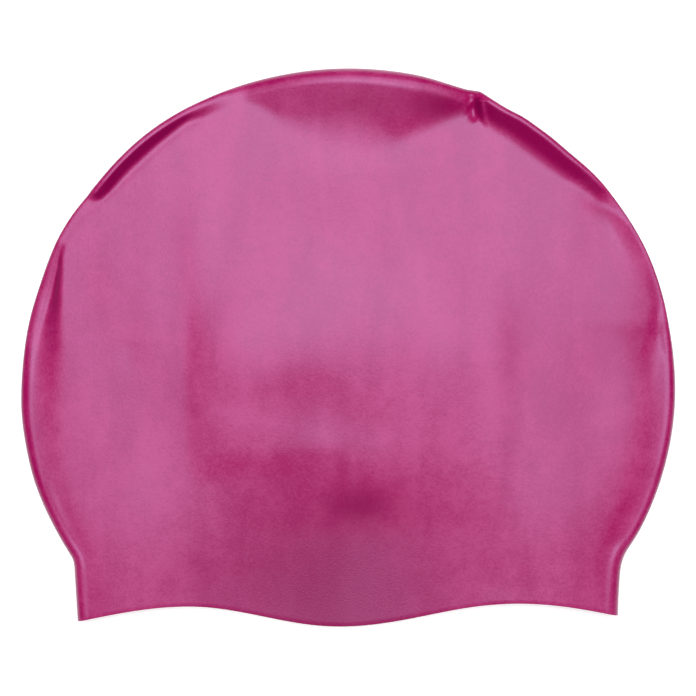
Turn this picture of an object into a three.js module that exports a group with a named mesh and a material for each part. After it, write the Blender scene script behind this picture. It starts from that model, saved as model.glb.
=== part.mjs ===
// A moulded silicone swim cap lying on its side, flat as it is stored. Two thin walls meet in one rounded
// fold that runs from the left end of the hem over the crown to the right end, and the hem between them is
// open. X runs along the hem, +Y points to the crown and +Z points up from the table. Millimetres.
import * as THREE from "three";
import { mergeVertices } from "three/addons/utils/BufferGeometryUtils.js";

// The outline seen from above
const capWidth = 225; // across the dome's widest line
const crownRise = 111; // from the widest line up to the crown
const crownFullness = 2.1; // 2 would make the crown an ellipse
const domeDrop = 58; // from the widest line down to the band
const bandTuck = 18; // how far each side of the band sits in from the widest line
const bandHeight = 20; // from the dome down to the hem, along the fold
const bandTaper = 1.3; // how far each side of the band leans in towards the hem
const hemWave = 5; // height of the hem's arches over its ends
const neckEase = { left: 2, right: 5 }; // how softly the dome turns into the band on each side
const kinkOut = 1; // how far the fold's small kinks stand out

// A section through the walls
const wall = 0.7;
const foldHeight = 4.4; // the fold's outermost line, over the table
const underCurl = 5; // from the outline in to where the lower wall lies on the table
const faceHeight = 8.4; // the upper wall beside the fold
const ridgeIn = 3.4; // from the outline in to the crest of the fold
const rollProud = 2.4; // how far the fold's roll stands over the upper wall
const rollRun = 8; // how far the roll's inner slope runs
const domeSwell = 3; // how far the dome bulges over the height beside the fold
const hemSag = 1.2; // how far the upper wall comes down from the neck to the hem

// The hem, from its left end to its right. across is a share of its half width, rise a share of hemWave.
const hemPoints = [
  { across: -1, rise: -0.2 },
  { across: -0.6, rise: 1 },
  { across: -0.03, rise: -0.6 },
  { across: 0.64, rise: 1.05 },
  { across: 1, rise: 0.2 },
];

// The roll along the fold, from the left end of the hem (at 0) over the crown (0.5) to the right end (1).
// ridge, proud and run are shares of ridgeIn, rollProud and rollRun.
const rollSections = [
  { at: 0, ridge: 0.95, proud: 0.3, run: 0.35 },
  { at: 0.037, ridge: 0.95, proud: 0.3, run: 0.4 },
  { at: 0.095, ridge: 0.9, proud: 0.25, run: 0.8 },
  { at: 0.15, ridge: 0.95, proud: 0.4, run: 1 },
  { at: 0.205, ridge: 1.4, proud: 0.85, run: 0.9 },
  { at: 0.245, ridge: 1.1, proud: 1, run: 0.6 },
  { at: 0.268, ridge: 0.6, proud: 0, run: 0.4 },
  { at: 0.298, ridge: 0.45, proud: 0, run: 0.4 },
  { at: 0.308, ridge: 0.42, proud: 0.9, run: 0.45 },
  { at: 0.345, ridge: 0.45, proud: 1.1, run: 0.6 },
  { at: 0.385, ridge: 0.5, proud: 0.8, run: 0.55 },
  { at: 0.41, ridge: 0.8, proud: 0, run: 0.5 },
  { at: 0.43, ridge: 1, proud: 0.3, run: 0.8 },
  { at: 0.5, ridge: 1.05, proud: 0.75, run: 1.9 },
  { at: 0.555, ridge: 1.1, proud: 1, run: 1.5 },
  { at: 0.588, ridge: 0.9, proud: 0.5, run: 0.7 },
  { at: 0.597, ridge: 0.5, proud: 0.5, run: 0.5 },
  { at: 0.65, ridge: 0.48, proud: 1.4, run: 1.1 },
  { at: 0.688, ridge: 0.45, proud: 0.9, run: 0.7 },
  { at: 0.7, ridge: 0.5, proud: 0, run: 0.5 },
  { at: 0.74, ridge: 0.6, proud: 0.3, run: 0.9 },
  { at: 0.78, ridge: 0.9, proud: 0.3, run: 0.6 },
  { at: 0.797, ridge: 1.2, proud: 1.1, run: 1 },
  { at: 0.845, ridge: 1.1, proud: 0.6, run: 2 },
  { at: 0.905, ridge: 1.15, proud: 0.65, run: 1.8 },
  { at: 0.95, ridge: 1.1, proud: 0.5, run: 1 },
  { at: 0.96, ridge: 0.95, proud: 0.35, run: 0.4 },
  { at: 1, ridge: 0.95, proud: 0.35, run: 0.4 },
];

// Kinks in the fold's line where it buckles. out is a share of kinkOut, span a share of the fold's length.
const foldKinks = [
  { at: 0.33, out: -0.5, span: 0.03 },
  { at: 0.4, out: -0.2, span: 0.012 },
  { at: 0.431, out: 0.6, span: 0.014 },
  { at: 0.592, out: 1, span: 0.007 },
  { at: 0.615, out: -0.6, span: 0.014 },
  { at: 0.655, out: -0.8, span: 0.02 },
];

// Bulges (+) and dents (-) of the upper wall. x and wide are shares of half the width, y and tall shares of
// the crown's rise, turn is in degrees and rise is a share of domeSwell.
const faceSwells = [
  { x: 0, y: 0.32, wide: 0.75, tall: 0.62, turn: 0, rise: 1 }, // the dome
  { x: -0.02, y: -0.12, wide: 0.3, tall: 0.12, turn: 0, rise: 0.3 }, // bulge over the middle dent
  { x: -0.05, y: -0.34, wide: 0.42, tall: 0.13, turn: 0, rise: -0.35 }, // crease across the middle
  { x: 0.06, y: -0.33, wide: 0.16, tall: 0.11, turn: 0, rise: -0.35 }, // its deepest point
  { x: -0.5, y: 0, wide: 0.07, tall: 0.4, turn: 2, rise: 0.2 }, // upright rib, left
  { x: 0.6, y: 0.35, wide: 0.1, tall: 0.35, turn: 0, rise: 0.2 }, // upright rib, right
];

// Mesh density
const bandSteps = 3;
const domeSteps = 76;
const foldRings = 5; // round the quarter turn from the outline to the fold's crest
const faceRings = 12; // from there to the middle line
const underRings = 7; // across the flat of the lower wall
const ringBunching = 1.4; // above 1, the rings crowd towards the fold
const outlinePoints = 24; // along the crown's curve
const middleReach = 0.45; // how far up the crown's rise the walls' middle line runs
const middleClimb = 2.1; // above 1, the middle line is climbed mostly from the band and the dome's sides

const halfWidth = capWidth / 2;
const neckHalf = halfWidth - bandTuck;
const hemHalf = neckHalf - bandTaper;
const neckTurn = Math.acos(neckHalf / halfWidth);
const domeDepth = domeDrop / Math.sin(neckTurn); // the lower dome's own half height, as an ellipse
const neckLevel = -domeDrop;
const hemLevel = neckLevel - bandHeight;

const mix = (a, b, share) => a + (b - a) * share;
const clamp01 = (value) => Math.min(Math.max(value, 0), 1);
const smooth = (share) => (1 - Math.cos(Math.PI * clamp01(share))) / 2;

// The pair of table rows on either side of a place, and how far the place is from the first to the second
function between(rows, key, place) {
  const next = Math.max(1, rows.findIndex((row, i) => i > 0 && row[key] >= place));
  const [low, high] = [rows[next - 1], rows[next]];
  return { low, high, share: clamp01((place - low[key]) / (high[key] - low[key])), next };
}

// Height of the hem's line, seen from above, at a place from -1 (left end) to 1 (right end)
function hemAt(across) {
  const { low, high, share, next } = between(hemPoints, "across", Math.min(across, 1));
  const quarter = (Math.PI / 2) * share;
  let eased = smooth(share);
  if (next === 1) eased = Math.sin(quarter);
  if (next === hemPoints.length - 1) eased = 1 - Math.cos(quarter);
  return hemLevel + hemWave * mix(low.rise, high.rise, eased);
}

// The fold's line: up the left side of the band, round the dome and down the right side
function foldPath() {
  const path = new THREE.Path();
  const side = (sign, ease) => {
    const turn = neckTurn - ease / domeDepth;
    return {
      corner: new THREE.Vector2(sign * hemHalf, hemAt(sign)),
      belowNeck: new THREE.Vector2(sign * mix(neckHalf, hemHalf, ease / bandHeight), neckLevel - ease),
      neck: new THREE.Vector2(sign * neckHalf, neckLevel),
      onDome: new THREE.Vector2(sign * halfWidth * Math.cos(turn), -domeDepth * Math.sin(turn)),
      turn,
    };
  };
  const left = side(-1, neckEase.left);
  const right = side(1, neckEase.right);
  path.moveTo(left.corner.x, left.corner.y);
  path.lineTo(left.belowNeck.x, left.belowNeck.y);
  path.quadraticCurveTo(left.neck.x, left.neck.y, left.onDome.x, left.onDome.y);
  path.absellipse(0, 0, halfWidth, domeDepth, Math.PI + left.turn, Math.PI, true);
  const crown = [];
  for (let i = 1; i <= outlinePoints; i++) {
    const angle = Math.PI * (1 - i / outlinePoints);
    const [c, s] = [Math.cos(angle), Math.sin(angle)];
    const power = 2 / crownFullness;
    const x = Math.sign(c) * halfWidth * Math.abs(c) ** power;
    crown.push(new THREE.Vector2(x, crownRise * Math.abs(s) ** power));
  }
  path.splineThru(crown);
  path.absellipse(0, 0, halfWidth, domeDepth, 0, -right.turn, true);
  path.quadraticCurveTo(right.neck.x, right.neck.y, right.belowNeck.x, right.belowNeck.y);
  path.lineTo(right.corner.x, right.corner.y);
  return path;
}

const fold = foldPath();
const foldLength = fold.getLength();

// A point of the fold's line with its kinks, and the direction from it into the cap
function foldPoint(at) {
  const point = fold.getPoint(at);
  const tangent = fold.getTangent(at);
  const inward = new THREE.Vector2(tangent.y, -tangent.x);
  const out = foldKinks.reduce((sum, k) => sum + k.out * Math.exp(-(((at - k.at) / k.span) ** 2)), 0);
  return { point: point.addScaledVector(inward, -kinkOut * out), inward };
}

// The roll at a place along the fold
function rollAt(at) {
  const { low, high, share } = between(rollSections, "at", at);
  const value = (key) => mix(low[key], high[key], smooth(share));
  return { ridge: ridgeIn * value("ridge"), proud: rollProud * value("proud"), run: rollRun * value("run") };
}

// Height of the upper wall's outside without the roll
function faceAt(x, y) {
  let height = faceHeight;
  for (const swell of faceSwells) {
    const turn = THREE.MathUtils.degToRad(swell.turn);
    const [dx, dy] = [x / halfWidth - swell.x, y / crownRise - swell.y];
    const u = (dx * Math.cos(turn) + dy * Math.sin(turn)) / swell.wide;
    const v = (dy * Math.cos(turn) - dx * Math.sin(turn)) / swell.tall;
    height += domeSwell * swell.rise * Math.exp(-u * u - v * v);
  }
  return height - hemSag * smooth((neckLevel + bandHeight - y) / (2 * bandHeight));
}

// The line across a wall from the fold to the cap's middle line. Its end climbs the middle line as the place
// on the fold climbs from its end, so that these lines leave the fold squarely and never cross.
const hemDip = hemPoints[2].across;
const middleFoot = new THREE.Vector2(hemHalf * hemDip, hemAt(hemDip));
function crossLine(at) {
  const { point, inward } = foldPoint(at);
  const climb = 1 - Math.abs(1 - 2 * at) ** middleClimb;
  const end = new THREE.Vector2(middleFoot.x, mix(middleFoot.y, crownRise * middleReach, climb));
  const bend = point.clone().addScaledVector(inward, point.distanceTo(end) / 2);
  return new THREE.QuadraticBezierCurve(point, bend, end);
}

// Places along the fold where the walls have a cross line
function stations() {
  const bandShare = bandHeight / foldLength;
  const list = [];
  for (let i = 0; i < bandSteps; i++) list.push((bandShare * i) / bandSteps);
  for (let i = 0; i <= domeSteps; i++) list.push(mix(bandShare, 1 - bandShare, i / domeSteps));
  for (let i = bandSteps - 1; i >= 0; i--) list.push(1 - (bandShare * i) / bandSteps);
  return list;
}

// Rings in from the outline: round the curl first, then on to the middle line
function ringsIn(curl, length, inset, beyond) {
  const rings = [];
  for (let j = 0; j <= foldRings; j++) {
    const turn = (Math.PI / 2) * (j / foldRings);
    rings.push({ distance: curl - (curl - inset) * Math.cos(turn), turned: Math.sin(turn) });
  }
  for (let j = 1; j <= beyond; j++) {
    rings.push({ distance: mix(curl, length, (j / beyond) ** ringBunching), turned: 1 });
  }
  return rings;
}

// How far a point of a fold end's cross line has to move to lie on the hem's wave
function hemOffset(line, share) {
  const point = line.getPointAt(share);
  return hemAt(point.x / hemHalf) - point.y;
}

// One face of a wall, as a grid of stations by rings. The inset is 0 for the wall's outside and the wall's
// thickness for its inside. The hem's wave fades out above the band.
function sheet(isUpper, inset) {
  const endLines = [crossLine(0), crossLine(1)];
  return stations().map((at) => {
    const line = crossLine(at);
    const length = line.getLength();
    const roll = rollAt(at);
    const curl = isUpper ? roll.ridge : underCurl;
    const fade = (1 - clamp01((Math.min(at, 1 - at) * foldLength) / (4 * bandHeight))) ** 2;
    const endLine = endLines[at < 0.5 ? 0 : 1];
    return ringsIn(curl, length, inset, isUpper ? faceRings : underRings).map(({ distance, turned }) => {
      const share = clamp01(distance / length);
      const { x, y: level } = line.getPointAt(share);
      const y = level + fade * hemOffset(endLine, share);
      let z = mix(foldHeight, inset, turned);
      if (isUpper) {
        const fall = 1 - smooth((distance - roll.ridge) / roll.run);
        z = mix(foldHeight, faceAt(x, y) + roll.proud * fall - inset, turned);
      }
      return new THREE.Vector3(x, y, z);
    });
  });
}

// The triangles of a sheet, facing up or down
function sheetTriangles(grid, facesUp) {
  const corners = [];
  for (let i = 0; i + 1 < grid.length; i++) {
    for (let j = 0; j + 1 < grid[i].length; j++) {
      const [a, b, c, d] = [grid[i][j], grid[i][j + 1], grid[i + 1][j + 1], grid[i + 1][j]];
      corners.push(...(facesUp ? [a, b, c, a, c, d] : [a, c, b, a, d, c]));
    }
  }
  return corners;
}

// The hem's edge: the strip that joins a sheet's two end lines to those of the sheet inside it
function hemTriangles(outer, inner, facesUp) {
  const corners = [];
  const lines = [
    [outer[0], inner[0]],
    [inner.at(-1), outer.at(-1)],
  ];
  for (const [first, second] of lines) {
    for (let j = 0; j + 1 < first.length; j++) {
      const [a, b, c, d] = [first[j], first[j + 1], second[j + 1], second[j]];
      corners.push(...(facesUp ? [a, c, b, a, d, c] : [a, b, c, a, c, d]));
    }
  }
  return corners;
}

function capGeometry() {
  const corners = [];
  for (const isUpper of [true, false]) {
    const outer = sheet(isUpper, 0);
    const inner = sheet(isUpper, wall);
    corners.push(...sheetTriangles(outer, isUpper), ...sheetTriangles(inner, !isUpper));
    corners.push(...hemTriangles(outer, inner, isUpper));
  }
  const geometry = mergeVertices(new THREE.BufferGeometry().setFromPoints(corners), 1e-3);
  geometry.computeBoundingBox();
  const centre = geometry.boundingBox.getCenter(new THREE.Vector3());
  return geometry.translate(-centre.x, -centre.y, -geometry.boundingBox.min.z);
}

const silicone = new THREE.MeshStandardMaterial({ color: 0xbe5a93, roughness: 0.45, metalness: 0 });

const cap = new THREE.Mesh(capGeometry(), silicone);
cap.name = "cap_shell";

const swimCap = new THREE.Group();
swimCap.add(cap);

export default swimCap;
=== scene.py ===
import math

import bpy
import numpy as np
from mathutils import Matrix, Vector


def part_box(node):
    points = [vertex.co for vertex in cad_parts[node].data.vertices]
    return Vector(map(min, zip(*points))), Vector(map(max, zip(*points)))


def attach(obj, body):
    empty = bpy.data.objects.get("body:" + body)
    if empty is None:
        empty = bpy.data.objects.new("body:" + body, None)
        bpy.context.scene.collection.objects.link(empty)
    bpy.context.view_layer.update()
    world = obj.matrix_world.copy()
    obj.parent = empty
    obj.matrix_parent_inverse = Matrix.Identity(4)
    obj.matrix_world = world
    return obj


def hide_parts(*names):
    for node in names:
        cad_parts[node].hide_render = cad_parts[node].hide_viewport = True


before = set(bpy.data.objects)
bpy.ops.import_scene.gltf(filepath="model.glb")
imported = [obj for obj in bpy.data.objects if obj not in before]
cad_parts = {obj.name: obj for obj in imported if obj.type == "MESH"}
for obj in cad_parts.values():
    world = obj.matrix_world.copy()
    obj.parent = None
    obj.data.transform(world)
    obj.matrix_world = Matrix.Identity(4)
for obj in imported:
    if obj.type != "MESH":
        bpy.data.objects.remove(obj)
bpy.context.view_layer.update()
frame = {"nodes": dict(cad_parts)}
mm = 0.001
print("frame loaded:", ", ".join(frame["nodes"]))


def mix(a, b, share):
    return a + (b - a) * share


def smooth(share):
    return 0.5 - 0.5 * np.cos(math.pi * np.clip(share, 0, 1))


def fromTable(rows, key, column, places):
    # one column of a table between its rows, as a soft curve that never overshoots them
    at = np.array([row[key] for row in rows], float)
    value = np.array([row[column] for row in rows], float)
    gap = np.diff(at)
    climb = np.diff(value) / gap
    before, after = climb[:-1], climb[1:]
    tilt = np.zeros_like(value)
    steady = before * after > 0
    tilt[1:-1][steady] = 2 * before[steady] * after[steady] / (before + after)[steady]
    low = np.clip(np.searchsorted(at, places, side="right") - 1, 0, len(rows) - 2)
    t = (places - at[low]) / gap[low]
    ends = mix(value[low], value[low + 1], t * t * (3 - 2 * t))
    return ends + gap[low] * t * (1 - t) * (tilt[low] * (1 - t) - tilt[low + 1] * t)


def slopeDown(t, lead, foot):
    # falls from 1 to 0 as t goes from 0 to 1, rounded over the shares lead at its top and foot at its bottom,
    # where it runs out slowly
    t = np.clip(t, 0, 1)
    total = 1 - lead / 2 - foot * 2 / 3
    top = t * t / (2 * lead)
    bottom = total - (1 - t) ** 3 / (3 * foot**2)
    gone = np.where(t < lead, top, np.where(t > 1 - foot, bottom, t - lead / 2))
    return 1 - gone / total


def hill(form, x, y):
    # a soft hill of height 1 about a form's centre, with its own reach to each side
    dx, dy = x - form["x"], y - form["y"]
    u = dx / np.where(dx < 0, form["left"], form["right"])
    v = dy / np.where(dy < 0, form["down"], form["up"])
    return np.exp(-u * u - v * v)


# the outline, seen from above
capLow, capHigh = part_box("cap_shell")
outline = {
    "halfWidth": (capHigh.x - capLow.x) / 2 / mm,
    "crownRise": 111,  # from the widest line up to the crown
    "crownFullness": 2.05,
    "domeDrop": 58,  # from the widest line down to the band
    "bandTuck": 18,
    "bandHeight": 20,
    "bandTaper": 1.3,
    "hemWave": 5,
    "easeLeft": 2,  # how softly the dome turns into the band
    "easeRight": 5,
    "middleReach": 0.45,  # how far up the crown the walls' middle line ends
    "middleClimb": 2.1,
    "waveFade": 4,  # band heights over which the hem's wave fades out
    "bandPoints": 60,
    "dropPoints": 200,
    "crownPoints": 1200,
}
outline["widestLine"] = capHigh.y / mm - outline["crownRise"]

# the hem from left to right: across as a share of its half width, rise as a share of hemWave
hemPoints = [
    {"across": -1, "rise": -0.2},
    {"across": -0.6, "rise": 0.84},
    {"across": -0.03, "rise": -0.6},
    {"across": 0.64, "rise": 1.1},
    {"across": 1, "rise": 0.2},
]

# small kinks of the fold's line: out in mm, span as a share of the fold
foldKinks = [
    {"at": 0.1, "out": 0.45, "span": 0.025},
    {"at": 0.145, "out": 0.4, "span": 0.025},
    {"at": 0.233, "out": -0.35, "span": 0.02},
    {"at": 0.307, "out": -0.6, "span": 0.02},
    {"at": 0.33, "out": -0.5, "span": 0.03},
    {"at": 0.402, "out": -0.1, "span": 0.01},
    {"at": 0.432, "out": 0.1, "span": 0.014},
    {"at": 0.57, "out": -0.3, "span": 0.014},
    {"at": 0.591, "out": 0.8, "span": 0.006},
    {"at": 0.613, "out": -0.8, "span": 0.012},
    {"at": 0.635, "out": -0.5, "span": 0.012},
    {"at": 0.66, "out": -1, "span": 0.022},
    {"at": 0.745, "out": 0.5, "span": 0.035},
    {"at": 0.84, "out": 0.35, "span": 0.04},
    {"at": 0.959, "out": -0.4, "span": 0.012},
    {"at": 0.982, "out": -0.4, "span": 0.018},
]

# The roll along the fold, at shares of its length from the hem's left end over the crown (0.5) to its right end.
# round: how the edge turns over, 2 as a circle does and more with a flatter top
# ridge: how far in the roll's crest ends
# proud: how far the crest stands over the groove inside it
# run, lead, foot: the width of the slope between them, and the shares that round its top and its bottom
# gutter: how deep the groove lies under the face
# reach, ease, lip: how far in the face is level again, and the shares that round that slope's start and end
rollColumns = ("at", "round", "ridge", "proud", "run", "lead", "foot", "gutter", "reach", "ease", "lip")
foldRoll = [
    (0, 2.4, 3.2, 0.2, 1.2, 0.3, 0.4, 0.1, 12, 0.4, 0.5),
    (0.034, 2.4, 3.2, 0.25, 1.2, 0.3, 0.4, 0.1, 12, 0.4, 0.5),
    (0.043, 2.4, 3, 0.15, 1, 0.3, 0.4, 0.2, 10, 0.4, 0.5),
    (0.09, 2.1, 3.1, 0.02, 0.6, 0.3, 0.4, 0.25, 15, 0.4, 0.5),
    (0.115, 2.1, 3.4, 0.02, 0.6, 0.3, 0.4, 0.4, 17, 0.4, 0.5),
    (0.135, 2.1, 3.5, 0.02, 0.6, 0.3, 0.4, 0.6, 18, 0.4, 0.5),
    (0.159, 2.1, 3.5, 0.03, 0.8, 0.2, 0.4, 1, 17, 0.36, 0.45),
    (0.18, 2.2, 3.3, 0.1, 1, 0.2, 0.3, 1.6, 16.4, 0.36, 0.45),
    (0.195, 2.4, 3.1, 0.2, 1.4, 0.4, 0.3, 2.2, 14.6, 0.28, 0.35),
    (0.222, 2.8, 3, 0.3, 2, 0.4, 0.3, 2.4, 10.4, 0.2, 0.25),
    (0.247, 3.2, 2.6, 0.3, 1.4, 0.4, 0.3, 1.5, 6.2, 0.16, 0.2),
    (0.258, 3.6, 2, 0.2, 1, 0.4, 0.3, 0.7, 4.4, 0.24, 0.3),
    (0.266, 4, 1.6, 0, 1.2, 0.4, 0.3, 0.05, 4, 0.32, 0.4),
    (0.3, 4.4, 1.6, 0, 2.4, 0.2, 0.2, 0.05, 7, 0.32, 0.4),
    (0.306, 4.4, 1.9, 2.2, 3.2, 0.15, 0.2, 0.1, 7, 0.32, 0.4),
    (0.32, 4.4, 2, 3.3, 4.2, 0.12, 0.4, 0.1, 8, 0.32, 0.4),
    (0.346, 4.4, 2, 3.5, 4.8, 0.12, 0.5, 0.1, 8, 0.32, 0.4),
    (0.37, 4.4, 2, 2.8, 4.2, 0.15, 0.5, 0.1, 8, 0.32, 0.4),
    (0.386, 4.4, 1.9, 1.8, 3.6, 0.2, 0.5, 0.1, 8, 0.32, 0.4),
    (0.4, 4, 1.9, 1.4, 6, 0.2, 0.6, 0, 8, 0.32, 0.4),
    (0.413, 3.6, 2, 0.7, 6.4, 0.2, 0.5, 0, 9, 0.32, 0.4),
    (0.427, 3.2, 3.6, 0.2, 5, 0.2, 0.5, 0, 20, 0.3, 0.4),
    (0.437, 3, 4.4, 0.9, 9, 0.1, 0.6, 0, 30, 0.3, 0.4),
    (0.452, 3, 4.5, 2.2, 20, 0.05, 0.6, 0, 44, 0.3, 0.4),
    (0.478, 3, 4.6, 4.3, 32, 0.04, 0.72, 0, 58, 0.3, 0.4),
    (0.508, 3, 4.8, 5.6, 40, 0.04, 0.78, 0, 60, 0.3, 0.4),
    (0.53, 3, 5, 5.5, 33, 0.05, 0.62, 0, 60, 0.3, 0.4),
    (0.546, 3.2, 4.8, 4.9, 28, 0.08, 0.5, 0, 58, 0.3, 0.4),
    (0.562, 3.3, 4.3, 3.9, 21, 0.1, 0.5, 0, 54, 0.3, 0.4),
    (0.574, 3.4, 4.2, 2.9, 15.5, 0.12, 0.6, 0, 44, 0.3, 0.4),
    (0.582, 3.5, 4.3, 1.9, 12, 0.14, 0.75, 0, 30, 0.3, 0.4),
    (0.587, 3.6, 4.4, 1.3, 9.6, 0.2, 0.8, 0, 20, 0.4, 0.5),
    (0.592, 3.8, 2.2, 2.4, 5.6, 0.1, 0.4, 0, 14, 0.1, 0.5),
    (0.6, 4, 1.9, 4, 8, 0.08, 0.5, 0, 14, 0.4, 0.5),
    (0.62, 4.2, 1.9, 4.3, 10, 0.06, 0.6, 0, 14, 0.4, 0.5),
    (0.64, 4.2, 1.9, 4.4, 11, 0.06, 0.65, 0, 16, 0.4, 0.5),
    (0.668, 4.4, 1.8, 3.8, 9.8, 0.07, 0.65, 0, 14, 0.4, 0.5),
    (0.685, 4.6, 1.5, 3, 7.6, 0.08, 0.6, 0, 12, 0.4, 0.5),
    (0.696, 5, 1.3, 2.2, 5.8, 0.08, 0.5, 0.1, 12, 0.4, 0.5),
    (0.7, 6, 1.1, 1.3, 5, 0.05, 0.3, 0.2, 13, 0.3, 0.4),
    (0.706, 7.4, 1.1, 0.5, 3.6, 0.05, 0.3, 0.4, 13, 0.2, 0.6),
    (0.716, 8, 1, 0.12, 1.4, 0.1, 0.3, 0.55, 12, 0.1, 0.9),
    (0.729, 8, 0.8, 0.02, 0.2, 0.3, 0.3, 0.6, 11, 0.1, 0.9),
    (0.757, 8, 0.8, 0.02, 0.2, 0.3, 0.3, 0.3, 10, 0.1, 0.9),
    (0.78, 7, 0.9, 0.04, 0.4, 0.3, 0.3, 0.24, 6, 0.4, 0.5),
    (0.795, 4, 1.6, 0.3, 2, 0.3, 0.2, 0.5, 8, 0.2, 0.3),
    (0.806, 3.2, 2.1, 0.5, 2.4, 0.3, 0.2, 0.9, 10, 0.24, 0.3),
    (0.815, 2.9, 2.3, 0.45, 2.2, 0.3, 0.2, 0.9, 13, 0.28, 0.3),
    (0.822, 2.6, 2.6, 0.15, 1, 0.3, 0.3, 0.6, 15, 0.4, 0.5),
    (0.845, 2.3, 2.7, 0.12, 1.2, 0.3, 0.3, 0.5, 18, 0.4, 0.5),
    (0.885, 2.3, 2.7, 0.12, 1.2, 0.3, 0.3, 0.5, 18, 0.4, 0.5),
    (0.92, 2.3, 2.6, 0.06, 1, 0.3, 0.3, 1.1, 15, 0.36, 0.45),
    (0.948, 2.3, 2.7, 0.05, 1, 0.2, 0.3, 0.7, 13, 0.32, 0.4),
    (0.96, 2.4, 3.4, 0.25, 1.8, 0.2, 0.3, 0.2, 12, 0.4, 0.5),
    (1, 2.4, 3.7, 0.25, 1.8, 0.2, 0.3, 0, 14, 0.4, 0.5),
]

# a section through the walls
walls = {
    "wall": 0.7,
    "foldHeight": 4.8,
    "underCurl": 5,
    "faceHeight": 8.4,
    "hemSag": 0.8,
    "hemRound": 0.2,
    "hemRoundSteps": 2,
    "hemCorner": 60,  # degrees, the edges that are rounded
    "softCorner": 50,  # degrees, the edges that are shaded smooth
    "joinWithin": 0.01,
}

# bulges and hollows of the upper wall: centre, reach to each side, rise
faceForms = [
    # the dome and the head's bulge on it
    {"x": 0, "y": 20.5, "left": 84, "right": 84, "up": 69, "down": 69, "rise": 3},
    {"x": 0, "y": 15, "left": 46, "right": 44, "up": 60, "down": 48, "rise": 2.8},
    {"x": -36, "y": -2, "left": 18, "right": 24, "up": 18, "down": 28, "rise": 0.8},
    # the dark dent over the band, the swelling above it and the fall to the band
    {"x": 2, "y": -40, "left": 26, "right": 22, "up": 12, "down": 14, "rise": 0.45},
    {"x": 6, "y": -65, "left": 42, "right": 38, "up": 15, "down": 70, "rise": -1.5},
    {"x": 8, "y": -59, "left": 18, "right": 12, "up": 9, "down": 24, "rise": -1.1},
    # small swellings and a hollow round the dent and on the band
    {"x": -40, "y": -30, "left": 8, "right": 9, "up": 8, "down": 10, "rise": 0.25},
    {"x": -9, "y": -34, "left": 9, "right": 8, "up": 7, "down": 9, "rise": 0.28},
    {"x": 8, "y": -42.5, "left": 8, "right": 8, "up": 8, "down": 7, "rise": 0.28},
    {"x": -44, "y": -80, "left": 8, "right": 9, "up": 8, "down": 8, "rise": -0.15},
    {"x": 49, "y": -89, "left": 5, "right": 6, "up": 5, "down": 6, "rise": 0.2},
    # the band's ends stay level
    {"x": -78, "y": -96, "left": 26, "right": 22, "up": 56, "down": 20, "rise": 2.4},
    {"x": 68, "y": -96, "left": 24, "right": 36, "up": 74, "down": 20, "rise": 3.6},
    # the swelling at the right
    {"x": 96, "y": 26, "left": 16, "right": 12, "up": 26, "down": 20, "rise": 0.5},
    # the hollow under the crown, deeper at its right end
    {"x": 10, "y": 60, "left": 50, "right": 40, "up": 22, "down": 36, "rise": -2},
    {"x": 34, "y": 80, "left": 14, "right": 9, "up": 7, "down": 12, "rise": -0.7},
    # the hem's middle droops
    {"x": -8, "y": -112, "left": 42, "right": 40, "up": 32, "down": 20, "rise": -0.9},
    # the lower edge of the swelling at the right and the valley below it
    {"x": 90, "y": 10, "left": 8, "right": 9, "up": 20, "down": 4, "rise": 0.14},
    {"x": 98, "y": 8.6, "left": 7, "right": 8, "up": 18, "down": 4, "rise": 0.16},
    {"x": 103, "y": 2, "left": 6, "right": 3.4, "up": 5, "down": 13, "rise": -0.4},
]

# Creases: a line through points, and how far it rises in mm. left and right: how far it fades to each side of the
# way it runs. start and end: the shares of it that fade in and out. A crease with swell is the sharp foot of a
# swelling on its left, which is highest that many mm away.
creases = [
    # upright lines at both sides of the head's bulge
    {
        "points": [(-54.5, 28), (-54.8, 0), (-54.5, -30), (-53.5, -48)],
        "rise": 0.75, "swell": 15, "start": 0.4, "end": 0.25,
    },
    {
        "points": [(47.5, -75), (48.4, -35), (48.6, 0), (48.4, 44)],
        "rise": 0.85, "left": 24, "right": 8.5, "start": 0.4, "end": 0.4,
    },
    # short groove at the far left
    {
        "points": [(-75, -11), (-75, -2), (-75.5, 4)],
        "rise": -0.1, "left": 2.5, "right": 4, "start": 0.4, "end": 0.4,
    },
    # bowed groove under the middle
    {
        "points": [(-46, -22), (-30, -19), (-16, -18), (-5, -16), (2, -10)],
        "rise": -0.3, "left": 8, "right": 14, "start": 0.4, "end": 0.4,
    },
    # the pleat at the kink: its groove, then its fine ridge
    {
        "points": [(42.8, 87), (43.1, 82), (43.8, 77)],
        "rise": -0.9, "left": 1.1, "right": 1.8, "start": 0.2, "end": 0.3,
    },
    {
        "points": [(45.4, 85), (45.7, 82), (46.6, 78.5), (48.4, 75)],
        "rise": 0.8, "left": 0.9, "right": 0.8, "start": 0.1, "end": 0.5,
    },
    # slanting line under the right dent
    {
        "points": [(88, 46), (91, 40), (94.5, 34), (97, 29)],
        "rise": 0.12, "left": 3, "right": 1, "start": 0.3, "end": 0.5,
    },
    # second line inside the left roll, down to the neck
    {
        "points": [(-104.5, -42), (-101, -52), (-96.5, -61), (-93.5, -67)],
        "rise": 0.08, "left": 0.9, "right": 1.1, "start": 0.3, "end": 0.3,
    },
]

# how finely a crease's line is followed, and how many of its widths away it still counts
creaseSize = {"linePoints": 24, "plainWidths": 2.5, "swellWidths": 6}

# soft unevenness of the upper wall, seeded so that it comes out the same
waves = {
    "count": 150,
    "seed": 11,
    "height": 0.08,
    "across": (5, 12),
    "along": (9, 26),
    "spanX": 108,
    "spanY": 95,
}

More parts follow.
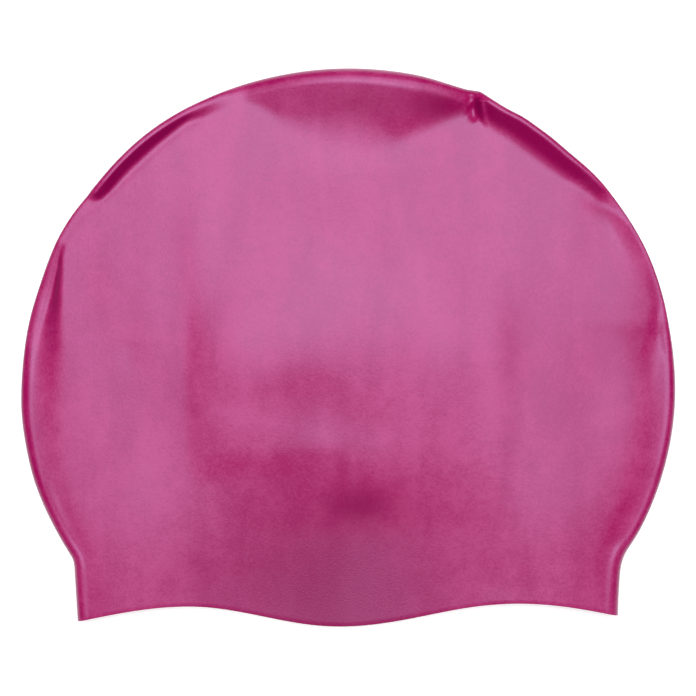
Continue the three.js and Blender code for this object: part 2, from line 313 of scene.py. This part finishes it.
# Painted shade, kept as an attribute of the cap: colour darkened where shade falls, 1 is the full painted shade
# of a fold, 2 the painted shadow along its outermost edge.
paintedShade = {
    "name": "paintedShadeLevel",
    "fromSlope": 0.2,
    "fullSlope": 0.8,
    "outerLevel": 0.1,  # outside the roll's crest
    # a painted shadow along the outermost line: how wide it is and how dark
    "edgeShadowWidth": 0.45,
    "edgeShadowLevel": 2,
    "easeIn": 1.5,  # mm inside the roll's crest
    "shadeForms": [
        # painted shade over the middle of the band and the dent over it
        {"x": -4, "y": -84, "left": 46, "right": 40, "up": 34, "down": 40, "level": 0.85},
        {"x": 4, "y": -55, "left": 17, "right": 13, "up": 9, "down": 9, "level": 0.85},
        # painted shade on the slope under the crown and its right end
        {"x": 6, "y": 84, "left": 30, "right": 26, "up": 9, "down": 8, "level": 0.55},
        {"x": 32, "y": 83, "left": 14, "right": 9, "up": 6, "down": 6, "level": 0.9},
    ],
}

meshSize = {
    "stations": 470,
    "pacePoints": 2001,
    "tangentStep": 0.002,  # share of the fold to each side
    "foldRings": 12,  # round the quarter turn from the outline to the roll's crest
    "faceRings": 70,
    "faceBunching": 1.35,  # rings lie closer together towards the fold
    "underFoldRings": 5,
    "underRings": 10,
    "underBunching": 1.2,
    "linePoints": 200,
    "leastStep": 0.001,
}

# how far apart the stations lie along each half of the fold, closer where it is dented or pleated
stationPace = [
    {"at": 0, "pace": 1.7},
    {"at": 0.18, "pace": 1.7},
    {"at": 0.2, "pace": 0.8},
    {"at": 0.31, "pace": 0.8},
    {"at": 0.33, "pace": 1.2},
    {"at": 0.385, "pace": 1.1},
    {"at": 0.395, "pace": 0.4},
    {"at": 0.417, "pace": 0.4},
    {"at": 0.435, "pace": 1.6},
    {"at": 0.5, "pace": 1.8},
]


def hemHeight(across):
    # the hem's line at places from -1 to 1
    across = np.clip(across, -1, 1)
    at = [p["across"] for p in hemPoints]
    rise = [p["rise"] for p in hemPoints]
    low = np.clip(np.searchsorted(at, across, side="right") - 1, 0, len(at) - 2)
    at, rise = np.array(at, float), np.array(rise, float)
    share = (across - at[low]) / (at[low + 1] - at[low])
    eased = smooth(share)
    eased = np.where(low == 0, np.sin(share * math.pi / 2), eased)
    eased = np.where(low == len(at) - 2, 1 - np.cos(share * math.pi / 2), eased)
    level = outline["widestLine"] - outline["domeDrop"] - outline["bandHeight"]
    return level + outline["hemWave"] * mix(rise[low], rise[low + 1], eased)


def foldCurve():
    # the fold's line as a dense row of points, from the hem's left end over the crown to its right end
    half, mid = outline["halfWidth"], outline["widestLine"]
    neck = half - outline["bandTuck"]
    hem = neck - outline["bandTaper"]
    neckTurn = math.acos(neck / half)
    domeDepth = outline["domeDrop"] / math.sin(neckTurn)

    def side(sign, ease):
        turn = neckTurn - ease / domeDepth
        corner = np.array([sign * hem, float(hemHeight(np.array(float(sign))))])
        neckHeight = mid - outline["domeDrop"]
        below = np.array([sign * mix(neck, hem, ease / outline["bandHeight"]), neckHeight - ease])
        tip = np.array([sign * neck, neckHeight])
        onDome = np.array([sign * half * math.cos(turn), mid - domeDepth * math.sin(turn)])
        t = np.linspace(0, 1, outline["bandPoints"])[:, None]
        line = mix(corner, below, t)
        bend = (1 - t) ** 2 * below + 2 * t * (1 - t) * tip + t**2 * onDome
        swing = np.linspace(turn, 0, outline["dropPoints"])
        lower = np.stack([sign * half * np.cos(swing), mid - domeDepth * np.sin(swing)], 1)
        return np.concatenate([line, bend[1:], lower[1:]])

    angle = np.linspace(math.pi, 0, outline["crownPoints"])
    power = 2 / outline["crownFullness"]
    c, s = np.cos(angle), np.abs(np.sin(angle))
    crown = np.stack([np.sign(c) * half * np.abs(c) ** power, mid + outline["crownRise"] * s**power], 1)
    left, right = side(-1, outline["easeLeft"]), side(1, outline["easeRight"])
    return np.concatenate([left, crown[1:-1], right[::-1]])


def alongLine(line, places):
    # points of a polyline at shares of its length
    steps = np.linalg.norm(np.diff(line, axis=0), axis=1)
    length = np.concatenate([[0], np.cumsum(steps)])
    found = [np.interp(places * length[-1], length, line[:, k]) for k in (0, 1)]
    return np.stack(found, 1), length[-1]


def foldStations(count):
    # shares of the fold, the same from both ends, so that the walls' middle line closes
    fine = np.linspace(0, 0.5, meshSize["pacePoints"])
    weight = np.cumsum(1 / fromTable(stationPace, "at", "pace", fine))
    weight = (weight - weight[0]) / (weight[-1] - weight[0])
    halfShares = np.interp(np.linspace(0, 1, count // 2 + 1), weight, fine)
    return np.concatenate([halfShares, 1 - halfShares[-2::-1]])


def capLayout():
    # the fold's points and the lines across the walls, one for each station
    shares = foldStations(meshSize["stations"])
    line = foldCurve()
    point, length = alongLine(line, shares)
    ahead, _ = alongLine(line, np.clip(shares + meshSize["tangentStep"], 0, 1))
    behind, _ = alongLine(line, np.clip(shares - meshSize["tangentStep"], 0, 1))
    tangent = ahead - behind
    tangent /= np.linalg.norm(tangent, axis=1)[:, None]
    inward = np.stack([tangent[:, 1], -tangent[:, 0]], 1)
    out = sum(k["out"] * np.exp(-(((shares - k["at"]) / k["span"]) ** 2)) for k in foldKinks)
    point = point - inward * out[:, None]
    hemHalf = outline["halfWidth"] - outline["bandTuck"] - outline["bandTaper"]
    dip = hemPoints[2]["across"]
    footX, footY = hemHalf * dip, float(hemHeight(np.array(dip)))
    topY = outline["widestLine"] + outline["crownRise"] * outline["middleReach"]
    climb = 1 - np.abs(1 - 2 * shares) ** outline["middleClimb"]
    end = np.stack([np.full_like(shares, footX), mix(footY, topY, climb)], 1)
    reach = np.linalg.norm(end - point, axis=1)[:, None]
    bend = point + inward * reach / 2
    t = np.linspace(0, 1, meshSize["linePoints"])[:, None, None]
    across = (1 - t) ** 2 * point + 2 * t * (1 - t) * bend + t**2 * end
    steps = np.linalg.norm(np.diff(across, axis=0), axis=2)
    travelled = np.concatenate([np.zeros((1, len(shares))), np.cumsum(steps, axis=0)])
    return {
        "shares": shares,
        "foldLength": length,
        "lines": across,
        "travelled": travelled,
        "hemHalf": hemHalf,
    }


def placeAcross(layout, distance):
    # x and y at a distance in from the outline on every station's line
    xs, ys = np.empty_like(distance), np.empty_like(distance)
    for i in range(len(layout["shares"])):
        travelled, line = layout["travelled"][:, i], layout["lines"][:, i]
        xs[i] = np.interp(distance[i], travelled, line[:, 0])
        ys[i] = np.interp(distance[i], travelled, line[:, 1])
    return xs, ys


def hemFollow(layout, distance):
    # how far down or up the hem's wave moves a point, fading out above the band
    shares = layout["shares"]
    full = layout["travelled"][-1]
    fraction = distance / full[:, None]
    fadeLength = outline["waveFade"] * outline["bandHeight"]
    fade = (1 - np.clip(np.minimum(shares, 1 - shares) * layout["foldLength"] / fadeLength, 0, 1)) ** 2
    move = np.zeros_like(distance)
    for end, chosen in ((0, shares < 0.5), (-1, shares >= 0.5)):
        travelled, line = layout["travelled"][:, end], layout["lines"][:, end]
        x = np.interp(fraction[chosen] * full[end], travelled, line[:, 0])
        y = np.interp(fraction[chosen] * full[end], travelled, line[:, 1])
        move[chosen] = (hemHeight(x / layout["hemHalf"]) - y) * fade[chosen][:, None]
    return move


def smoothLine(points):
    # a dense soft curve through a few points
    points = np.array(points, float)
    ends = np.concatenate([[2 * points[0] - points[1]], points, [2 * points[-1] - points[-2]]])
    pieces = []
    t = np.linspace(0, 1, creaseSize["linePoints"], endpoint=False)[:, None]
    for a, b, c, d in zip(ends[:-3], ends[1:-2], ends[2:-1], ends[3:]):
        square = (2 * a - 5 * b + 4 * c - d) * t**2
        cube = (3 * b - a - 3 * c + d) * t**3
        pieces.append(0.5 * (2 * b + (c - a) * t + square + cube))
    return np.concatenate(pieces + [points[-1:]])


def addCrease(height, x, y, crease):
    # raises or sinks the points near one crease
    line = smoothLine(crease["points"])
    swell = crease.get("swell")
    if swell:
        wide = creaseSize["swellWidths"] * swell
    else:
        wide = creaseSize["plainWidths"] * max(crease["left"], crease["right"])
    low, high = line.min(axis=0) - wide, line.max(axis=0) + wide
    near = (x > low[0]) & (x < high[0]) & (y > low[1]) & (y < high[1])
    spot = np.stack([x[near], y[near]], 1)
    gaps = np.linalg.norm(spot[:, None] - line[None], axis=2)
    closest, away = gaps.argmin(axis=1), gaps.min(axis=1)
    steps = np.gradient(line, axis=0)
    offset = spot - line[closest]
    leftSide = steps[closest, 0] * offset[:, 1] - steps[closest, 1] * offset[:, 0] > 0
    place = closest / (len(line) - 1)
    fade = smooth(place / crease["start"]) * smooth((1 - place) / crease["end"])
    if swell:
        shape = np.where(leftSide, away / swell * np.exp(1 - away / swell), 0)
    else:
        shape = np.exp(-((away / np.where(leftSide, crease["left"], crease["right"])) ** 2))
    height[near] += crease["rise"] * fade * shape


def faceHeight(x, y):
    # the upper wall's height without the roll
    height = np.full_like(x, walls["faceHeight"])
    for form in faceForms:
        height += form["rise"] * hill(form, x, y)
    for crease in creases:
        addCrease(height, x, y, crease)
    dice = np.random.default_rng(waves["seed"])
    for _ in range(waves["count"]):
        cx = dice.uniform(-waves["spanX"], waves["spanX"])
        cy = dice.uniform(-waves["spanY"], waves["spanY"])
        wide, tall = dice.uniform(*waves["across"]), dice.uniform(*waves["along"])
        rise = dice.normal(0, waves["height"])
        height += rise * np.exp(-(((x - cx) / wide) ** 2) - ((y - cy) / tall) ** 2)
    bandTop = outline["widestLine"] - outline["domeDrop"]
    span = outline["bandHeight"]
    return height - walls["hemSag"] * smooth((bandTop + span - y) / (2 * span))


def ringShares(count, bunching):
    return (np.arange(1, count + 1) / count)[None, :] ** bunching


def upperSheet(layout):
    # the upper wall from the outline to the middle line, and how much painted shade darkens its colour
    shares = layout["shares"]
    rows = [dict(zip(rollColumns, row)) for row in foldRoll]
    roll = {key: fromTable(rows, "at", key, shares)[:, None] for key in rollColumns[1:]}
    full = layout["travelled"][-1][:, None]

    # rings round the edge, then across the face
    turn = np.linspace(0, math.pi / 2, meshSize["foldRings"] + 1)[None, :]
    power = 2 / roll["round"]
    curl = roll["ridge"] * (1 - np.cos(turn) ** power)
    inner = ringShares(meshSize["faceRings"], meshSize["faceBunching"])
    distance = np.concatenate([curl, roll["ridge"] + (full - roll["ridge"]) * inner], 1)
    rise = np.sin(turn) ** power
    turned = np.concatenate([rise, np.ones((len(shares), inner.shape[1]))], 1)
    x, y = placeAcross(layout, distance)
    y = y + hemFollow(layout, distance)

    # the roll's inner slope and the groove beside it
    groove = roll["ridge"] + roll["run"]
    bead = slopeDown((distance - roll["ridge"]) / roll["run"], roll["lead"], roll["foot"])
    sunk = slopeDown((distance - groove) / (roll["reach"] - groove), roll["ease"], roll["lip"])
    top = faceHeight(x, y) + roll["proud"] * bead - roll["gutter"] * sunk
    place = np.stack([x, y, mix(walls["foldHeight"], top, turned)], 2)

    # painted shade: the colour is darkened in steep folds and in the forms listed for it, with a painted shadow
    # along the outermost line
    step = np.maximum(np.gradient(distance, axis=1), meshSize["leastStep"])
    slope = np.abs(np.gradient(place[:, :, 2], axis=1)) / step
    deepToneAndShade = np.clip((slope - paintedShade["fromSlope"]) / (paintedShade["fullSlope"] - paintedShade["fromSlope"]), 0, 1)
    deepToneAndShade = np.where(distance < roll["ridge"], np.minimum(deepToneAndShade, paintedShade["outerLevel"]), deepToneAndShade)
    insideRoll = smooth((distance - roll["ridge"]) / paintedShade["easeIn"])
    for form in paintedShade["shadeForms"]:
        deepToneAndShade = np.maximum(deepToneAndShade, form["level"] * hill(form, x, y) * insideRoll)
    deepToneAndShade = deepToneAndShade + paintedShade["edgeShadowLevel"] * smooth(1 - distance / paintedShade["edgeShadowWidth"])
    return place, deepToneAndShade


def lowerSheet(layout):
    # the lower wall, which lies on the table
    shares = layout["shares"]
    full = layout["travelled"][-1][:, None]
    curlSize = walls["underCurl"]
    turn = np.linspace(0, math.pi / 2, meshSize["underFoldRings"] + 1)[None, :]
    curl = np.repeat(curlSize * (1 - np.cos(turn)), len(shares), 0)
    inner = ringShares(meshSize["underRings"], meshSize["underBunching"])
    distance = np.concatenate([curl, curlSize + (full - curlSize) * inner], 1)
    rise = np.repeat(np.sin(turn), len(shares), 0)
    turned = np.concatenate([rise, np.ones((len(shares), inner.shape[1]))], 1)
    x, y = placeAcross(layout, distance)
    y = y + hemFollow(layout, distance)
    place = np.stack([x, y, mix(walls["foldHeight"], 0, turned)], 2)
    # a painted shadow along the outermost line of the lower wall too
    return place, paintedShade["edgeShadowLevel"] * smooth(1 - distance / paintedShade["edgeShadowWidth"])


def makeCap():
    # one grid laid round the fold, from the upper wall's middle line to the lower wall's
    layout = capLayout()
    (upper, upperShade), (lower, lowerShade) = upperSheet(layout), lowerSheet(layout)
    sheet = np.concatenate([upper[:, ::-1], lower[:, 1:]], 1)
    deepToneAndShade = np.concatenate([upperShade[:, ::-1], lowerShade[:, 1:]], 1)
    rows, columns = sheet.shape[0], sheet.shape[1]
    bpy.ops.object.select_all(action="DESELECT")
    bpy.ops.mesh.primitive_grid_add(x_subdivisions=columns - 1, y_subdivisions=rows - 1, size=1)
    cap = bpy.context.active_object
    cap.name = "cap"
    cap.data.name = "cap"
    assert len(cap.data.vertices) == rows * columns
    cap.data.vertices.foreach_set("co", (sheet.reshape(-1, 3) * mm).ravel())
    # the painted shade goes on the cap as an attribute
    paintedShadeLevel = cap.data.attributes.new(paintedShade["name"], "FLOAT", "POINT")
    paintedShadeLevel.data.foreach_set("value", deepToneAndShade.ravel())
    cap.data.update()
    print("cap laid out:", rows, "stations by", columns, "rings")

    # close the two middle lines, turn the faces out and give the sheet its wall
    bpy.ops.object.mode_set(mode="EDIT")
    bpy.ops.mesh.select_all(action="SELECT")
    bpy.ops.mesh.remove_doubles(threshold=walls["joinWithin"] * mm)
    bpy.ops.mesh.normals_make_consistent(inside=False)
    bpy.ops.object.mode_set(mode="OBJECT")
    top = [face for face in cap.data.polygons if face.center.z > walls["foldHeight"] * mm]
    if sum(face.normal.z * face.area for face in top) < 0:
        cap.data.flip_normals()
    solid = cap.modifiers.new("wall", "SOLIDIFY")
    solid.thickness = walls["wall"] * mm
    solid.offset = -1
    solid.use_even_offset = False
    rim = cap.modifiers.new("hem edge", "BEVEL")
    rim.width = walls["hemRound"] * mm
    rim.segments = walls["hemRoundSteps"]
    rim.limit_method = "ANGLE"
    rim.angle_limit = math.radians(walls["hemCorner"])
    for modifier in ("wall", "hem edge"):
        bpy.ops.object.modifier_apply(modifier=modifier)
    bpy.ops.object.shade_smooth_by_angle(angle=math.radians(walls["softCorner"]))
    return cap


def feed(tree, socket, source):
    # a socket takes a plain value or another node's output
    if isinstance(source, bpy.types.NodeSocket):
        tree.links.new(source, socket)
    else:
        socket.default_value = source


def addNode(tree, kind, at, **inputs):
    made = tree.nodes.new(kind)
    made.location = at
    for name, source in inputs.items():
        feed(tree, made.inputs[name], source)
    return made


def addNoise(tree, at, where, settings):
    return addNode(tree, "ShaderNodeTexNoise", at, Vector=where, **settings).outputs["Fac"]


def addRange(tree, at, value, low=0, high=1, toLow=0, toHigh=1):
    limits = {"From Min": low, "From Max": high, "To Min": toLow, "To Max": toHigh}
    return addNode(tree, "ShaderNodeMapRange", at, Value=value, **limits).outputs["Result"]


def addMix(tree, at, share, first, second):
    made = addNode(tree, "ShaderNodeMix", at)
    made.data_type = "RGBA"
    for name, source in (("Factor", share), ("A", first), ("B", second)):
        feed(tree, made.inputs[name], source)
    return made.outputs["Result"]


def addMath(tree, at, operation, first, second, clamped=False):
    made = addNode(tree, "ShaderNodeMath", at)
    made.operation = operation
    made.use_clamp = clamped
    feed(tree, made.inputs[0], first)
    feed(tree, made.inputs[1], second)
    return made.outputs["Value"]


silicone = {
    "deepToneAndShade": (0.345, 0.002, 0.095, 1),
    "pearl": (0.44, 0.034, 0.16, 1),
    # painted shade: the colour of a fold in shade, then the darker painted shadow along the outermost edge
    "fold": (0.25, 0.0008, 0.07, 1),
    "foldEdge": (0.09, 0.001, 0.03, 1),
    "sheen": (0.62, 0.60, 1.0, 1),
    "sheenLevel": 0.53,
    "refraction": 1.45,
    "roughness": 0.33,
    "roughnessChange": 0.03,
    "streakScale": (70, 20, 40),  # pearl drawn out from crown to hem
    "streaks": {"Scale": 1.0, "Detail": 2.0, "Roughness": 0.5, "Distortion": 0.5},
    "clouds": {"Scale": 130, "Detail": 6.0, "Roughness": 0.8},
    "pearlRange": (0.14, 0.38),
    "sand": {"Scale": 1000, "Detail": 3.0, "Roughness": 0.75},
    "sandRange": (0.25, 0.75),
    "sandLevel": 0.5,
    "grain": {"Scale": 1700, "Detail": 2.0, "Roughness": 0.6},
    "grainStrength": 0.3,
    "grainDepth": 0.00014,
}


def makePearl(tree, where):
    # how much pearl there is: clouds and long streaks, and sand over them
    stretched = addNode(tree, "ShaderNodeMapping", (-1200, 300), Vector=where, Scale=silicone["streakScale"])
    streaks = addNoise(tree, (-1000, 300), stretched.outputs["Vector"], silicone["streaks"])
    clouds = addNoise(tree, (-1000, 0), where, silicone["clouds"])
    both = addMath(tree, (-800, 200), "MULTIPLY", streaks, clouds)
    spread = addRange(tree, (-600, 200), both, *silicone["pearlRange"])
    sand = addNoise(tree, (-1000, 550), where, silicone["sand"])
    level = silicone["sandLevel"]
    sandy = addRange(tree, (-800, 400), sand, *silicone["sandRange"], -level, level)
    return addMath(tree, (-550, 350), "ADD", spread, sandy, clamped=True)


def makeColour(tree, pearl):
    # the pearly colour, with painted shade from the cap's own attribute: darker in the folds, and a painted
    # shadow along the outermost edge
    face = addMix(tree, (-400, 300), pearl, silicone["deepToneAndShade"], silicone["pearl"])
    folds = addNode(tree, "ShaderNodeAttribute", (-1000, 700))
    folds.attribute_name = paintedShade["name"]
    toFoldShade = addRange(tree, (-800, 550), folds.outputs["Fac"])
    toEdgeShadow = addRange(tree, (-800, 800), folds.outputs["Fac"], 1, 2)
    fold = addMix(tree, (-400, 800), toEdgeShadow, silicone["fold"], silicone["foldEdge"])
    return addMix(tree, (-200, 500), toFoldShade, face, fold)


def makeSilicone():
    material = bpy.data.materials.new("pearl silicone")
    material.use_nodes = True
    tree = material.node_tree
    shader = tree.nodes["Principled BSDF"]
    shader.inputs["IOR"].default_value = silicone["refraction"]
    shader.inputs["Specular IOR Level"].default_value = silicone["sheenLevel"]
    shader.inputs["Specular Tint"].default_value = silicone["sheen"]
    where = addNode(tree, "ShaderNodeTexCoord", (-1400, 0)).outputs["Object"]
    pearl = makePearl(tree, where)
    feed(tree, shader.inputs["Base Color"], makeColour(tree, pearl))

    # the sheen is a little rougher where there is more pearl
    low = silicone["roughness"] - silicone["roughnessChange"]
    high = silicone["roughness"] + silicone["roughnessChange"]
    feed(tree, shader.inputs["Roughness"], addRange(tree, (-400, 0), pearl, toLow=low, toHigh=high))

    # the skin's fine grain
    grain = addNoise(tree, (-1000, -300), where, silicone["grain"])
    bump = addNode(tree, "ShaderNodeBump", (-400, -300), Height=grain, Distance=silicone["grainDepth"])
    bump.inputs["Strength"].default_value = silicone["grainStrength"]
    feed(tree, shader.inputs["Normal"], bump.outputs["Normal"])
    return material


table = {
    "size": 6,
    "colour": (0.9, 0.9, 0.9, 1),
    "roughness": 0.9,
    "glow": 0.45,  # the table is lit from below a little
}


def makeTable():
    bpy.ops.mesh.primitive_plane_add(size=table["size"])
    floor = bpy.context.active_object
    floor.name = "table"
    paint = bpy.data.materials.new("pale table")
    paint.use_nodes = True
    shader = paint.node_tree.nodes["Principled BSDF"]
    shader.inputs["Base Color"].default_value = table["colour"]
    shader.inputs["Roughness"].default_value = table["roughness"]
    shader.inputs["Emission Color"].default_value = table["colour"]
    shader.inputs["Emission Strength"].default_value = table["glow"]
    floor.data.materials.append(paint)
    return floor


studio = {
    "keySize": (0.8, 0.66),
    "keyPlace": (0, 0.19, 1.15),
    "keyPower": 13,
    "fillSize": 2.6,
    "fillHeight": 1.9,
    "fillPower": 17,
    "world": 0.03,
}


def makeLights():
    bpy.ops.object.light_add(type="AREA", location=studio["keyPlace"])
    key = bpy.context.active_object
    key.name = "soft box"
    key.data.shape = "RECTANGLE"
    key.data.size, key.data.size_y = studio["keySize"]
    key.data.energy = studio["keyPower"]
    bpy.ops.object.light_add(type="AREA", location=(0, 0, studio["fillHeight"]))
    fill = bpy.context.active_object
    fill.name = "ceiling"
    fill.data.size = studio["fillSize"]
    fill.data.energy = studio["fillPower"]
    world = bpy.data.worlds.new("studio")
    world.use_nodes = True
    level = studio["world"]
    world.node_tree.nodes["Background"].inputs["Color"].default_value = (level, level, level, 1)
    bpy.context.scene.world = world
    bpy.context.scene.view_settings.view_transform = "Standard"


photo = {
    "frameWidth": 240.2,  # mm of table that the photo's width takes in
    "lens": 100,
    "sensor": 36,
}


def makeCamera():
    bpy.ops.object.camera_add()
    camera = bpy.context.active_object
    camera.data.lens = photo["lens"]
    camera.data.sensor_width = photo["sensor"]
    distance = photo["frameWidth"] * photo["lens"] / photo["sensor"]
    camera.location = (0, 0, (distance + walls["foldHeight"]) * mm)
    camera.rotation_euler = (0, 0, 0)
    bpy.context.scene.camera = camera
    return camera


makeCamera()
cap = makeCap()
cap.data.materials.clear()
cap.data.materials.append(makeSilicone())
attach(cap, "root")
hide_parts("cap_shell")
print("cap finished:", len(cap.data.polygons), "faces")

makeTable()
makeLights()
print("studio ready")
